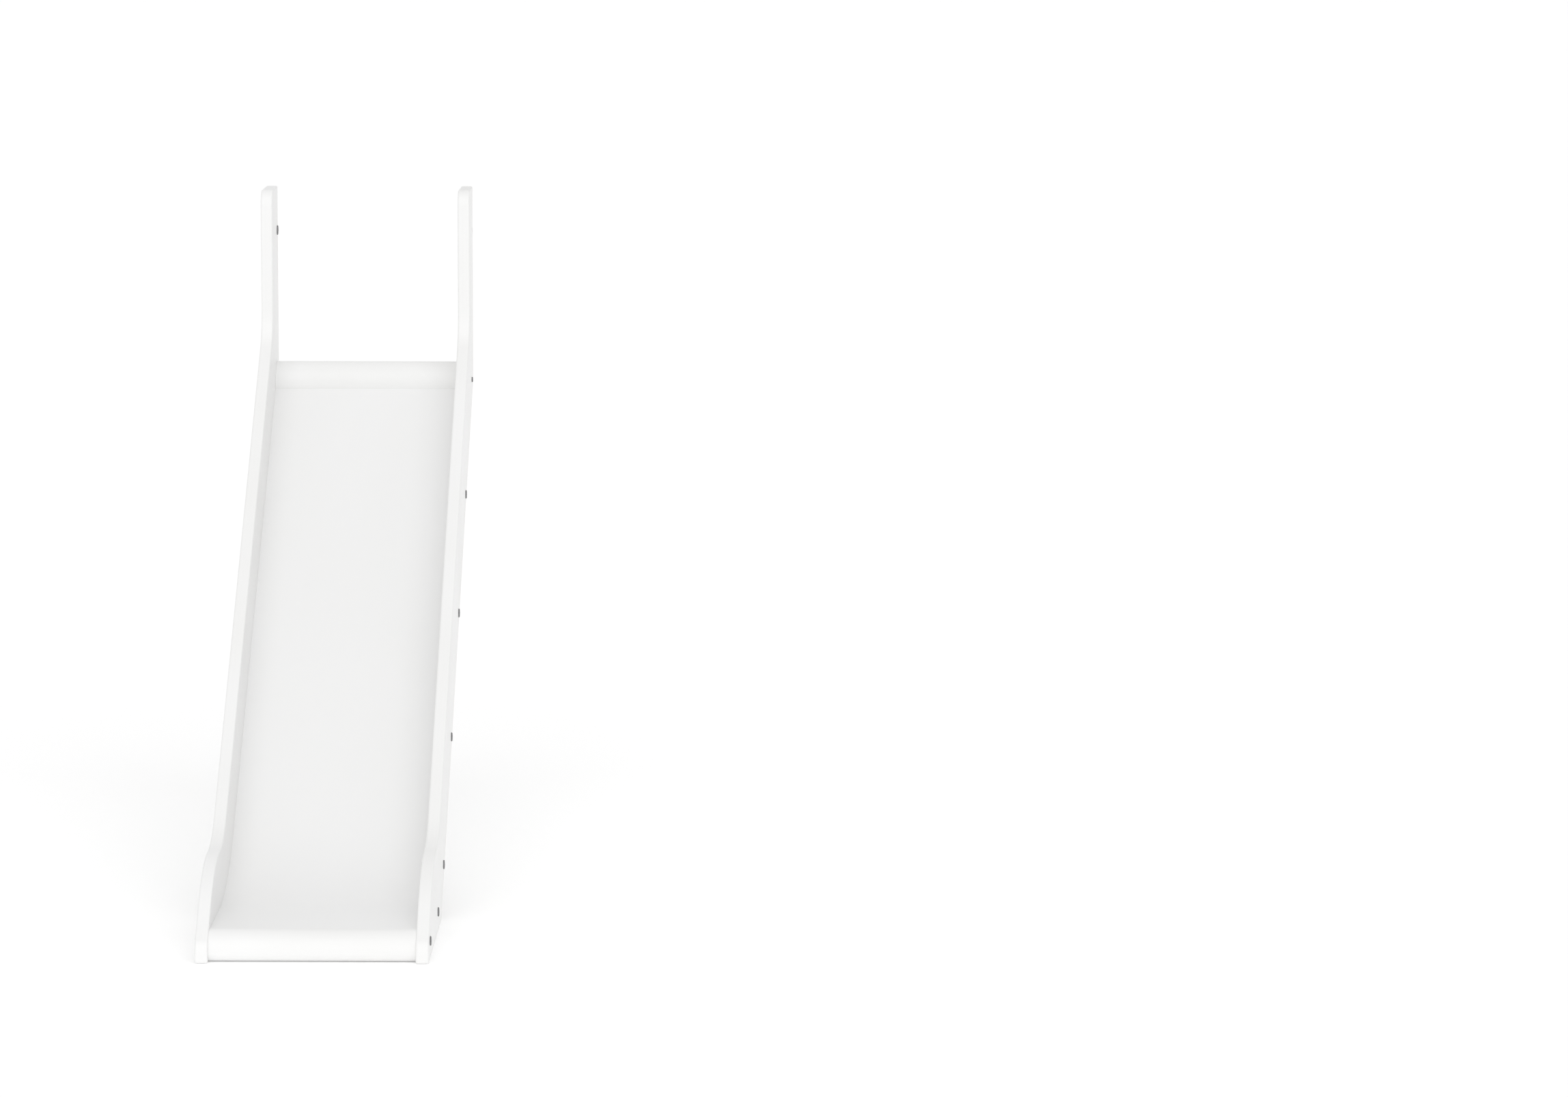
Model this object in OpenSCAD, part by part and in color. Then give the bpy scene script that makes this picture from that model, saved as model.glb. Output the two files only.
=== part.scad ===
// Children's bed slide: two rounded side panels carry a bent board,
// a round-nosed bar at each end and flat battens under the board.
// +X runs across the slide, +Y towards the bed, +Z up from the floor.
// The origin is on the floor, midway across and midway front to back.

/* [Overall] */
// Floor to the top of the guards
overall_height = 1200; // [900:10:1500]
// Toe to the rear edge of the guards
overall_depth = 1573; // [1200:1:1900]
// Clear width between the two side panels
inner_width = 350; // [300:5:450]
// Angle of the sloping part above the floor, in degrees
slope_angle = 35; // [25:1:45]

/* [Side panels] */
// Thickness of each side panel
panel_thickness = 22; // [16:1:30]
// Front to rear depth of the upright guard
guard_depth = 130; // [80:1:160]
// Width of the sloping part, square to its edges
slope_width = 160; // [120:1:220]
// Height where the guard's front line meets the slope's front line
bend_height = 932; // [700:1:1100]
// Radius of the soft bend below the guard
bend_radius = 80; // [40:1:200]
// Radius of the guard's top front corner
guard_corner_radius = 30; // [10:1:50]
// Radius of the hidden corner behind the guard
rear_corner_radius = 15; // [5:1:40]
// Radius of the heel at the floor
heel_radius = 6; // [2:1:20]

/* [Toe] */
// Height of the rounded shoulder over the run-out
shoulder_height = 149; // [120:1:200]
// Radius of the hollow curve above the shoulder
hollow_radius = 220; // [120:5:400]
// Radius of the shoulder's forward curve
shoulder_radius = 300; // [200:5:500]
// Steepness, in degrees, where the shoulder curve ends
shoulder_turn = 38; // [30:1:60]
// Radius of the toe just above the floor
toe_radius = 30; // [15:1:60]

/* [Slide board] */
// Thickness of the bent board
board_thickness = 6; // [4:0.5:12]
// How far the board lies below the panels' front edges
board_inset = 118; // [80:1:150]
// Radius of the board's curve into the run-out
board_radius = 500; // [400:10:1200]
// Height of the run-out's upper surface
run_out_height = 51; // [30:1:120]
// Depth of the groove in each side panel
groove_depth = 6; // [4:0.5:10]
// Side play of the board in its grooves
groove_play = 0.5; // [0.2:0.1:1]

/* [End bars] */
// Height of the top bar's upper face
top_bar_height = 868; // [600:1:1100]
// Top bar section, top to bottom
top_bar_tall = 65; // [50:1:100]
// Top bar section, front to rear
top_bar_deep = 48; // [46:1:80]
// Gap from the top bar to the guards' rear edge
top_bar_rear_gap = 36; // [10:1:60]
// Radius of the top bar's nose
top_nose_radius = 45; // [20:1:60]
// How far the board enters the top bar
board_tongue = 12; // [6:1:20]
// Front bar section, top to bottom
front_bar_tall = 50.5; // [40:0.5:80]
// Front bar section, front to rear
front_bar_deep = 55; // [45:1:90]
// Radius of the front bar's nose
front_nose_radius = 37; // [25:1:40]
// Floor clearance under the front bar
front_bar_lift = 1.5; // [1:0.5:10]
// How far the front bar sits behind the toe
front_bar_setback = 9; // [0:1:20]
// Where the board stops, behind the front bar's nose
board_stop = 38; // [36:1:48]

/* [Battens] */
// Width of each cross batten along the slope
batten_width = 60; // [40:1:90]
// Thickness of each cross batten
batten_thickness = 22; // [16:1:30]
// Distance between battens along the slope
batten_pitch = 326; // [250:1:400]
// Position of the uppermost batten, front to rear
first_batten_y = 481; // [400:1:600]
// Slope of the board over the lowest cross batten, in degrees
lower_batten_turn = 26.2; // [18:0.1:30]
// Slope of the board over the run-out batten, in degrees
run_out_batten_turn = 5.6; // [5:0.1:15]

/* [Fasteners] */
// Bolt shank diameter
bolt_d = 6; // [5:1:8]
// Bolt hole diameter
bolt_hole_d = 7; // [6.5:0.1:9]
// Head diameter of the batten bolts and front bar bolts
head_d = 16; // [12:0.5:20]
// Head diameter of the smaller top bar bolts
small_head_d = 10; // [9:0.5:14]
// Bolt head height
head_h = 2.4; // [1.5:0.1:4]
// Hexagon socket size across flats
socket_af = 4; // [3:0.5:5]
// Shank length of the batten bolts
batten_bolt_length = 60; // [50:5:80]
// Shank length of the bar bolts
bar_bolt_length = 70; // [60:5:90]
// Barrel nut diameter
nut_d = 9.8; // [8:0.1:12]
// Barrel nut length
nut_length = 14; // [12:1:20]
// Locating dowel diameter
dowel_d = 8; // [6:1:10]
// Locating dowel length
dowel_length = 30; // [20:1:40]
// Distance from a batten's bolt to its dowel
dowel_offset = 19; // [16:1:24]
// Height of the sleeve nut that meets the bed's bolt
sleeve_height = 1117; // [1000:1:1180]
// Distance from the guard's rear edge to the sleeve nut
sleeve_from_rear = 20; // [16:1:60]
// Sleeve nut body diameter
sleeve_d = 10; // [9:0.5:12]
// Sleeve nut flange diameter
flange_d = 18; // [14:1:24]
// Bore of the sleeve nut for the bed's bolt
sleeve_bore_d = 6.6; // [6.2:0.1:7]

/* [Hidden] */
$fn = 96;
cut_margin = 10;
half_inner = inner_width / 2;
half_outer = half_inner + panel_thickness;
rear_y = overall_depth / 2;
toe_y = -overall_depth / 2;
guard_y = rear_y - guard_depth;
slope_tan = tan(slope_angle);
// Unit vectors along the slope and down through it
along = [cos(slope_angle), sin(slope_angle)];
inward = [sin(slope_angle), -cos(slope_angle)];

// Head bend: tangent points and centre
bend_leg = bend_radius * tan((90 - slope_angle) / 2);
bend_corner = [guard_y, bend_height];
bend_top = bend_corner + [0, bend_leg];
bend_low = bend_corner - bend_leg * along;
bend_centre = bend_top - [bend_radius, 0];

// Rear line of the slope
rear_point = bend_corner + slope_width * inward;
rear_corner_z = rear_point[1] + (rear_y - rear_point[0]) * slope_tan;
heel_y = rear_point[0] - rear_point[1] / slope_tan;
rear_leg = rear_corner_radius * tan((90 - slope_angle) / 2);
heel_leg = heel_radius * tan(slope_angle / 2);

// Shoulder: hollow curve tangent to the slope and to the shoulder curve
hollow_z = shoulder_height + hollow_radius;
hollow_y = guard_y - (hollow_radius - (hollow_z - bend_height) * cos(slope_angle)) / sin(slope_angle);
hollow_centre = [hollow_y, hollow_z];
hollow_top = hollow_centre + hollow_radius * inward;
shoulder_top = [hollow_y, shoulder_height];
shoulder_centre = shoulder_top - [0, shoulder_radius];

// Toe: straight run from the shoulder curve to the small toe curve
turn_out = [-sin(shoulder_turn), cos(shoulder_turn)];
turn_point = shoulder_centre + shoulder_radius * turn_out;
toe_start_y = toe_y + toe_radius + toe_radius * turn_out[0];
toe_start_z = turn_point[1] - (turn_point[0] - toe_start_y) * tan(shoulder_turn);
toe_centre = [toe_start_y, toe_start_z] - toe_radius * turn_out;
arc_reach = 1.1;

// Slide board path: straight, arc, level
board_point = bend_corner + board_inset * inward;
board_corner_y = board_point[0] - (board_point[1] - run_out_height) / slope_tan;
board_leg = board_radius * tan(slope_angle / 2);
board_low = [board_corner_y - board_leg, run_out_height];
board_high = [board_corner_y, run_out_height] + board_leg * along;
board_centre = board_low + [0, board_radius];
board_width = inner_width + 2 * (groove_depth - groove_play);

// Bars
top_bar_rear = rear_y - top_bar_rear_gap;
top_bar_front = top_bar_rear - top_bar_deep;
top_bar_base = top_bar_height - top_bar_tall;
seam_z = board_point[1] + (top_bar_front - board_point[0]) * slope_tan;
board_top_end = [top_bar_front, seam_z] + board_tongue * along;
front_bar_front = toe_y + front_bar_setback;
front_bar_rear = front_bar_front + front_bar_deep;
front_bar_top = front_bar_lift + front_bar_tall;
front_nose = [front_bar_front + front_nose_radius, front_bar_top - front_nose_radius];
front_low_radius = front_bar_tall - front_nose_radius;
front_low = [front_bar_front + front_low_radius, front_nose[1]];
board_end_y = front_bar_front + board_stop;

// Bolt places as [y, z, tilt]
bar_dowel_step = 16;
front_bolt_inset = 18;
front_bolt_rise = 30;
front_dowel_drop = 4;
bolt_from_board = board_thickness + batten_thickness / 2;
function straight_place(y) =
    [y, board_point[1] + (y - board_point[0]) * slope_tan - bolt_from_board / cos(slope_angle), slope_angle];
function arc_place(turn, below) =
    [board_centre[0] + (board_radius + below) * sin(turn),
     board_centre[1] - (board_radius + below) * cos(turn), turn];
batten_step = batten_pitch * cos(slope_angle);
batten_places = [
    straight_place(first_batten_y),
    straight_place(first_batten_y - batten_step),
    straight_place(first_batten_y - 2 * batten_step),
    arc_place(lower_batten_turn, bolt_from_board)
];
run_out_place = arc_place(run_out_batten_turn, bolt_from_board);
top_bolt = [top_bar_rear - top_bar_deep / 2, top_bar_base + top_bar_tall / 2];
top_dowel = top_bolt + [bar_dowel_step, 0];
front_bolt = [front_bar_rear - front_bolt_inset, front_bar_lift + front_bolt_rise];
front_dowel = front_bolt - [bar_dowel_step, front_dowel_drop];
sleeve_place = [rear_y - sleeve_from_rear, sleeve_height];

// Fastener details
socket_depth = 3;
head_chamfer = 0.9;
dowel_chamfer = 1;
dowel_in_panel = 10;
dowel_in_bar = dowel_length - dowel_in_panel;
nut_hole_d = nut_d + 0.4;
nut_slot_w = 1.4;
nut_slot_deep = 1.6;
nut_from_end = 8;
bore_clear = 0.4;
flange_h = 2.4;
sleeve_short = 1;
sleeve_bore_deep = 17;
sleeve_socket_af = 5;
sleeve_socket_deep = 2.6;
white = [0.93, 0.93, 0.92];
board_white = [0.9, 0.9, 0.89];
dark_steel = [0.2, 0.2, 0.21];
bright_steel = [0.68, 0.69, 0.7];
beech = [0.8, 0.64, 0.45];

// Turns a drawing in (y, z) into a slab along +X
module across() {
    rotate([90, 0, 90])
        children();
}

module disc(centre, r, h) {
    translate([centre[0], centre[1], 0])
        cylinder(r = r, h = h);
}

// Straight-sided outline of a side panel, with chords in place of its curves
module panel_core() {
    linear_extrude(panel_thickness)
        polygon([
            [heel_y - heel_leg, 0],
            [toe_y, 0],
            [toe_y, toe_centre[1]],
            [toe_start_y, toe_start_z],
            turn_point,
            shoulder_top,
            hollow_top,
            bend_low,
            bend_top,
            [guard_y, overall_height - guard_corner_radius],
            [guard_y + guard_corner_radius, overall_height],
            [rear_y, overall_height],
            [rear_y, rear_corner_z + rear_leg],
            [rear_y, rear_corner_z] - rear_leg * along,
            [heel_y, 0] + heel_leg * along
        ]);
}

// Round part of a convex curve that lies beyond the chord from p0 to p1
module arc_bulge(centre, r, p0, p1, inside, h) {
    far = r * arc_reach;
    toward0 = (p0 - centre) / r;
    toward1 = (p1 - centre) / r;
    between = (toward0 + toward1) / norm(toward0 + toward1);
    intersection() {
        disc(centre, r, h);
        linear_extrude(h)
            polygon([
                p0,
                centre + far * toward0,
                centre + far * between,
                centre + far * toward1,
                p1,
                inside
            ]);
    }
}

module panel_outline() {
    difference() {
        union() {
            panel_core();
            arc_bulge(shoulder_centre, shoulder_radius, shoulder_top, turn_point,
                      (shoulder_top + turn_point) / 2 - [0, shoulder_height / 3], panel_thickness);
            disc(toe_centre, toe_radius, panel_thickness);
            disc([guard_y, overall_height] + guard_corner_radius * [1, -1],
                 guard_corner_radius, panel_thickness);
            disc([rear_y - rear_corner_radius, rear_corner_z + rear_leg],
                 rear_corner_radius, panel_thickness);
            disc([heel_y - heel_leg, heel_radius], heel_radius, panel_thickness);
        }
        translate([0, 0, -cut_margin])
            disc(bend_centre, bend_radius, panel_thickness + 2 * cut_margin);
        translate([0, 0, -cut_margin])
            disc(hollow_centre, hollow_radius, panel_thickness + 2 * cut_margin);
        translate([toe_y - cut_margin, -toe_radius * 2, -cut_margin])
            cube([overall_depth, toe_radius * 2, panel_thickness + 2 * cut_margin]);
    }
}

// The bent board's section, extruded to a given width
module board_section(width) {
    down = board_thickness * inward;
    low_under = board_low - [0, board_thickness];
    high_under = board_high + down;
    core = (board_low + board_high + low_under + high_under) / 4;
    difference() {
        union() {
            linear_extrude(width)
                polygon([
                    [board_end_y, run_out_height],
                    board_low,
                    board_high,
                    board_top_end,
                    board_top_end + down,
                    high_under,
                    low_under,
                    [board_end_y, run_out_height - board_thickness]
                ]);
            arc_bulge(board_centre, board_radius + board_thickness, low_under, high_under, core, width);
        }
        translate([0, 0, -cut_margin])
            disc(board_centre, board_radius, width + 2 * cut_margin);
    }
}

// Round hole at a place given as [y, z, ...]
module hole(place, d, h) {
    disc([place[0], place[1]], d / 2, h);
}

function dowel_spot(place) =
    [place[0] - dowel_offset * cos(place[2]), place[1] - dowel_offset * sin(place[2])];

// Right-hand panel: inner face at the start of the extrusion
module side_panel() {
    translate([half_inner, 0, 0])
        across()
            difference() {
                panel_outline();
                translate([0, 0, groove_depth - inner_width / 2])
                    board_section(inner_width / 2);
                for (p = concat(batten_places, [run_out_place, top_bolt, front_bolt]))
                    translate([0, 0, -cut_margin])
                        hole(p, bolt_hole_d, panel_thickness + 2 * cut_margin);
                for (p = concat([for (b = batten_places) dowel_spot(b)],
                                [dowel_spot(run_out_place), top_dowel, front_dowel]))
                    translate([0, 0, -cut_margin])
                        hole(p, dowel_d, dowel_in_panel + cut_margin);
                translate([0, 0, -cut_margin])
                    hole(sleeve_place, sleeve_d, panel_thickness + 2 * cut_margin);
            }
}

// Repeats a right-hand piece as its mirror image on the left
module both_sides() {
    children();
    mirror([1, 0, 0])
        children();
}

// Holes for one bolt, barrel nut and dowel in the end of a cross member
module end_holes(bolt_length, nut_open, nut_stop) {
    reach = bolt_length - panel_thickness + bore_clear;
    both_sides() {
        translate([half_inner - reach, 0, 0])
            rotate([0, 90, 0])
                cylinder(d = bolt_hole_d, h = reach + cut_margin);
        translate([half_inner + panel_thickness - bolt_length + nut_from_end, 0, nut_open])
            cylinder(d = nut_hole_d, h = nut_stop - nut_open);
    }
}

module dowel_holes(y, z) {
    both_sides()
        translate([half_inner - dowel_in_bar - bore_clear, y, z])
            rotate([0, 90, 0])
                cylinder(d = dowel_d, h = dowel_in_bar + bore_clear + cut_margin);
}

module batten(place, width, thickness) {
    translate([0, place[0], place[1]])
        rotate([place[2], 0, 0])
            difference() {
                translate([-half_inner, -width / 2, -thickness / 2])
                    cube([inner_width, width, thickness]);
                end_holes(batten_bolt_length, -thickness / 2 - cut_margin, nut_length / 2);
                dowel_holes(-dowel_offset, 0);
            }
}

// Flat-headed bolt along X with its head outside the right-hand panel
module bolt(place, length, d) {
    socket_r = socket_af / sqrt(3);
    translate([half_outer, place[0], place[1]])
        rotate([0, 90, 0])
            difference() {
                union() {
                    translate([0, 0, -length])
                        cylinder(d = bolt_d, h = length + head_h / 2);
                    cylinder(d = d, h = head_h - head_chamfer);
                    translate([0, 0, head_h - head_chamfer])
                        cylinder(d1 = d, d2 = d - 2 * head_chamfer, h = head_chamfer);
                }
                translate([0, 0, head_h - socket_depth])
                    cylinder(r = socket_r, h = socket_depth + cut_margin, $fn = 6);
            }
}

// Slotted barrel nut that takes a bolt of the given length
module barrel_nut(place, tilt, length) {
    translate([0, place[0], place[1]])
        rotate([tilt, 0, 0])
            translate([half_outer - length + nut_from_end, 0, 0])
                difference() {
                    translate([0, 0, -nut_length / 2])
                        cylinder(d = nut_d, h = nut_length);
                    translate([-nut_d, 0, 0])
                        rotate([0, 90, 0])
                            cylinder(d = bolt_d, h = 2 * nut_d);
                    translate([-nut_d, -nut_slot_w / 2, -nut_length / 2 - cut_margin])
                        cube([2 * nut_d, nut_slot_w, cut_margin + nut_slot_deep]);
                }
}

// Locating dowel half in the panel, half in the cross member
module dowel(place) {
    translate([half_inner - dowel_in_bar, place[0], place[1]])
        rotate([0, 90, 0]) {
            cylinder(d1 = dowel_d - 2 * dowel_chamfer, d2 = dowel_d, h = dowel_chamfer);
            translate([0, 0, dowel_chamfer])
                cylinder(d = dowel_d, h = dowel_length - 2 * dowel_chamfer - bore_clear);
            translate([0, 0, dowel_length - dowel_chamfer - bore_clear])
                cylinder(d1 = dowel_d, d2 = dowel_d - 2 * dowel_chamfer, h = dowel_chamfer);
        }
}

// Sleeve nut: flange inside the guard, bore open to the bed's side
module sleeve_nut() {
    sleeve_length = panel_thickness - sleeve_short;
    translate([half_inner, sleeve_place[0], sleeve_place[1]])
        rotate([0, 90, 0])
            difference() {
                union() {
                    cylinder(d = sleeve_d, h = sleeve_length);
                    translate([0, 0, -flange_h])
                        cylinder(d1 = flange_d - 2 * head_chamfer, d2 = flange_d, h = head_chamfer);
                    translate([0, 0, head_chamfer - flange_h])
                        cylinder(d = flange_d, h = flange_h - head_chamfer);
                }
                translate([0, 0, sleeve_length - sleeve_bore_deep])
                    cylinder(d = sleeve_bore_d, h = sleeve_bore_deep + cut_margin);
                translate([0, 0, -flange_h - cut_margin])
                    cylinder(r = sleeve_socket_af / sqrt(3), h = cut_margin + sleeve_socket_deep, $fn = 6);
            }
}

module side_panel_right() {
    color(white)
        side_panel();
}

module side_panel_left() {
    color(white)
        mirror([1, 0, 0])
            side_panel();
}

module slide_board() {
    color(board_white)
        translate([-board_width / 2, 0, 0])
            across()
                board_section(board_width);
}

module top_bar() {
    nose = [top_bar_front + top_nose_radius, top_bar_height - top_nose_radius];
    color(white)
        difference() {
            translate([-half_inner, 0, 0])
                across()
                    difference() {
                        union() {
                            linear_extrude(inner_width)
                                polygon([
                                    [top_bar_front, top_bar_base],
                                    [top_bar_front, nose[1]],
                                    [nose[0], top_bar_height],
                                    [top_bar_rear, top_bar_height],
                                    [top_bar_rear, top_bar_base]
                                ]);
                            arc_bulge(nose, top_nose_radius, [top_bar_front, nose[1]],
                                      [nose[0], top_bar_height], nose, inner_width);
                        }
                        translate([0, 0, -cut_margin])
                            board_section(inner_width + 2 * cut_margin);
                    }
            translate([0, top_bolt[0], top_bolt[1]])
                end_holes(bar_bolt_length, -top_bar_tall, nut_length / 2);
            dowel_holes(top_dowel[0], top_dowel[1]);
        }
}

module front_bar() {
    color(white)
        difference() {
            translate([-half_inner, 0, 0])
                across()
                    difference() {
                        union() {
                            linear_extrude(inner_width)
                                polygon([
                                    [front_low[0], front_bar_lift],
                                    [front_bar_front, front_nose[1]],
                                    [front_nose[0], front_bar_top],
                                    [front_bar_rear, front_bar_top],
                                    [front_bar_rear, front_bar_lift]
                                ]);
                            arc_bulge(front_nose, front_nose_radius, [front_bar_front, front_nose[1]],
                                      [front_nose[0], front_bar_top], front_nose, inner_width);
                            arc_bulge(front_low, front_low_radius, [front_low[0], front_bar_lift],
                                      [front_bar_front, front_low[1]], front_low, inner_width);
                        }
                        translate([board_end_y, run_out_height - board_thickness, -cut_margin])
                            cube([front_bar_deep, front_bar_tall, inner_width + 2 * cut_margin]);
                    }
            translate([0, front_bolt[0], front_bolt[1]])
                end_holes(bar_bolt_length, -front_bar_tall, nut_length / 2);
            dowel_holes(front_dowel[0], front_dowel[1]);
        }
}

module cross_batten_1() {
    color(white)
        batten(batten_places[0], batten_width, batten_thickness);
}

module cross_batten_2() {
    color(white)
        batten(batten_places[1], batten_width, batten_thickness);
}

module cross_batten_3() {
    color(white)
        batten(batten_places[2], batten_width, batten_thickness);
}

module cross_batten_4() {
    color(white)
        batten(batten_places[3], batten_width, batten_thickness);
}

module run_out_batten() {
    color(white)
        batten(run_out_place, batten_width, batten_thickness);
}

module batten_bolts_set() {
    color(dark_steel)
        for (p = concat(batten_places, [run_out_place]))
            bolt(p, batten_bolt_length, head_d);
}

module batten_bolts_right() {
    batten_bolts_set();
}

module batten_bolts_left() {
    mirror([1, 0, 0])
        batten_bolts_set();
}

module top_bar_bolt_right() {
    color(dark_steel)
        bolt(top_bolt, bar_bolt_length, small_head_d);
}

module top_bar_bolt_left() {
    mirror([1, 0, 0])
        top_bar_bolt_right();
}

module front_bar_bolt_right() {
    color(dark_steel)
        bolt(front_bolt, bar_bolt_length, head_d);
}

module front_bar_bolt_left() {
    mirror([1, 0, 0])
        front_bar_bolt_right();
}

module batten_nuts() {
    color(bright_steel)
        both_sides()
            for (p = concat(batten_places, [run_out_place]))
                barrel_nut(p, p[2], batten_bolt_length);
}

module bar_nuts() {
    color(bright_steel)
        both_sides()
            for (p = [top_bolt, front_bolt])
                barrel_nut(p, 0, bar_bolt_length);
}

module batten_dowels() {
    color(beech)
        both_sides()
            for (p = concat(batten_places, [run_out_place]))
                dowel(dowel_spot(p));
}

module bar_dowels() {
    color(beech)
        both_sides()
            for (p = [top_dowel, front_dowel])
                dowel(p);
}

module sleeve_nut_right() {
    color(dark_steel)
        sleeve_nut();
}

module sleeve_nut_left() {
    color(dark_steel)
        mirror([1, 0, 0])
            sleeve_nut();
}

side_panel_left();
side_panel_right();
slide_board();
top_bar();
front_bar();
cross_batten_1();
cross_batten_2();
cross_batten_3();
cross_batten_4();
run_out_batten();
batten_bolts_left();
batten_bolts_right();
top_bar_bolt_left();
top_bar_bolt_right();
front_bar_bolt_left();
front_bar_bolt_right();
batten_nuts();
bar_nuts();
batten_dowels();
bar_dowels();
sleeve_nut_left();
sleeve_nut_right();
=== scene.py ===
import math

import bmesh
import bpy
from mathutils import Matrix, Vector


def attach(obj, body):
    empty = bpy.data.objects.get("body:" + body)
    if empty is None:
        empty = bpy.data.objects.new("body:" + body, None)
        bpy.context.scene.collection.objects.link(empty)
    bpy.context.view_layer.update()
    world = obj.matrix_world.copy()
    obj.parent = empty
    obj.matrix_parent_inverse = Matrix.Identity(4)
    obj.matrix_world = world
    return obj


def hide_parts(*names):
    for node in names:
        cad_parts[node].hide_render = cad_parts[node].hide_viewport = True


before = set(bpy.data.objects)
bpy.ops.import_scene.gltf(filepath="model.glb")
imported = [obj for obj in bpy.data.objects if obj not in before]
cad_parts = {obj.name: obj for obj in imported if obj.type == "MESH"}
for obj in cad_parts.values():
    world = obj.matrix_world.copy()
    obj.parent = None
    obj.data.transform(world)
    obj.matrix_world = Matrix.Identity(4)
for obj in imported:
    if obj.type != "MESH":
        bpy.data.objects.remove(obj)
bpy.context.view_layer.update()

# ---------------------------------------------------------------- dimensions
# Millimetres, in the CAD frame: X across, Y towards the bed, Z up.
MM = 0.001
HEIGHT = 1200
DEPTH = 1573
HALF_INNER = 175
PANEL = 22
HALF_OUTER = HALF_INNER + PANEL
SLOPE = math.radians(35)
GUARD_DEPTH = 130
SLOPE_WIDTH = 160
BEND_HEIGHT = 932
BEND_RADIUS = 80
GUARD_RADIUS = 30
REAR_RADIUS = 15
HEEL_RADIUS = 6
SHOULDER_HEIGHT = 149
HOLLOW_RADIUS = 220
SHOULDER_RADIUS = 300
SHOULDER_TURN = math.radians(38)
TOE_RADIUS = 30
BOARD = 6
BOARD_INSET = 118
BOARD_RADIUS = 500
RUN_OUT = 51
GROOVE = 6
GROOVE_PLAY = 0.5
TOP_BAR_HEIGHT = 868
TOP_BAR_TALL = 65
TOP_BAR_DEEP = 48
TOP_BAR_GAP = 36
TOP_NOSE = 45
TONGUE = 12
FRONT_BAR_TALL = 50.5
FRONT_BAR_DEEP = 55
FRONT_NOSE = 37
FRONT_BAR_LIFT = 1.5
FRONT_BAR_SETBACK = 9
BOARD_STOP = 38
BATTEN_WIDTH = 60
BATTEN_THICK = 22
BATTEN_PITCH = 326
SLOPE_BATTENS = 3
FIRST_BATTEN_Y = 481
LOWER_BATTEN_TURN = math.radians(26.2)
RUN_OUT_BATTEN_TURN = math.radians(5.6)
BOLT_D = 6
BOLT_HOLE_D = 7
HEAD_D = 16
SMALL_HEAD_D = 10
HEAD_H = 2.4
SOCKET_AF = 4
SOCKET_DEPTH = 3
BATTEN_BOLT = 60
BAR_BOLT = 70
NUT_D = 9.8
NUT_LENGTH = 14
NUT_FROM_END = 8
NUT_HOLE_D = 10.2
NUT_SLOT_W = 1.4
NUT_SLOT_DEEP = 1.6
DOWEL_D = 8
DOWEL_LENGTH = 29.6
DOWEL_IN_PANEL = 10
DOWEL_IN_BAR = 20
DOWEL_OFFSET = 19
BAR_DOWEL_STEP = 16
FRONT_BOLT_INSET = 18
FRONT_BOLT_RISE = 30
FRONT_DOWEL_DROP = 4
BORE_CLEAR = 0.4
SLEEVE_Z = 1117
SLEEVE_FROM_REAR = 20
SLEEVE_D = 10
SLEEVE_BORE_D = 6.6
SLEEVE_BORE_DEEP = 17
SLEEVE_LENGTH = 21
SLEEVE_SOCKET_AF = 5
SLEEVE_SOCKET_DEEP = 2.6
FLANGE_D = 18
FLANGE_H = 2.4

# Roundings and gaps that only the visual model has
PANEL_ROUND = 3.5
PANEL_ROUND_STEPS = 6
TOE_FOOT = 4.5
BOARD_EASE = 0.4
END_EASE = 0.25
EASE_STEPS = 2
BAR_CORNER = 2.5
BAR_LIP = 0.8
ARC_GAP = 0.001
BATTEN_CORNER = 2.5
SEAM = 0.12

# Threads, chamfers and rims of the fasteners
THREAD_PITCH = 1.0
THREAD_DEPTH = 0.55
THREAD_LENGTH = 26
THREAD_RUN_OUT = 0.6
TIP_CHAMFER = (0.8, 0.4)
HEAD_CHAMFER = (0.35, 0.3)
HEAD_RIM = 1.0
HEAD_CROWN = (0.2, 2)
FLANGE_RIM = 0.9
FLANGE_CROWN = 0.2
SOCKET_CHAMFER = 0.35
SOCKET_WIDER = 1.12
SOCKET_POINT = 0.45
END_CHAMFER = 0.4
DOWEL_CHAMFER = 1
DOWEL_FLUTES = 16
POINTS_PER_FLUTE = 3
FLUTE_DEPTH = 0.25

# How far cutters stand past the surface that they open
PAST = 8
PAST_SOCKET = 4
PAST_NUT = 6

# Fineness of round shapes
ARC_ERROR = 0.02
MOST_BULGE = 0.05
FEWEST_STEPS = 4
RIM_STEPS = 4
SAME_POINT = 1e-4
HOLE_SEGMENTS = 40
NUT_HOLE_SEGMENTS = 32
FASTENER_SEGMENTS = 36
FLANGE_SEGMENTS = 48
HEX = 6
BODY_SHARP = math.radians(32)
FASTENER_SHARP = math.radians(40)
DOWEL_SHARP = math.radians(60)
LARGE_FACE_WEIGHT = 90

TAN = math.tan(SLOPE)
ALONG = Vector((math.cos(SLOPE), math.sin(SLOPE)))
INWARD = Vector((math.sin(SLOPE), -math.cos(SLOPE)))
REAR_Y = DEPTH / 2
TOE_Y = -DEPTH / 2
GUARD_Y = REAR_Y - GUARD_DEPTH


def line_y(point, z):
    """Where the sloping line through a point reaches the height z."""
    return point[0] + (z - point[1]) / TAN


def line_z(point, y):
    """Height at y of the sloping line through a point."""
    return point[1] + (y - point[0]) * TAN


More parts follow.
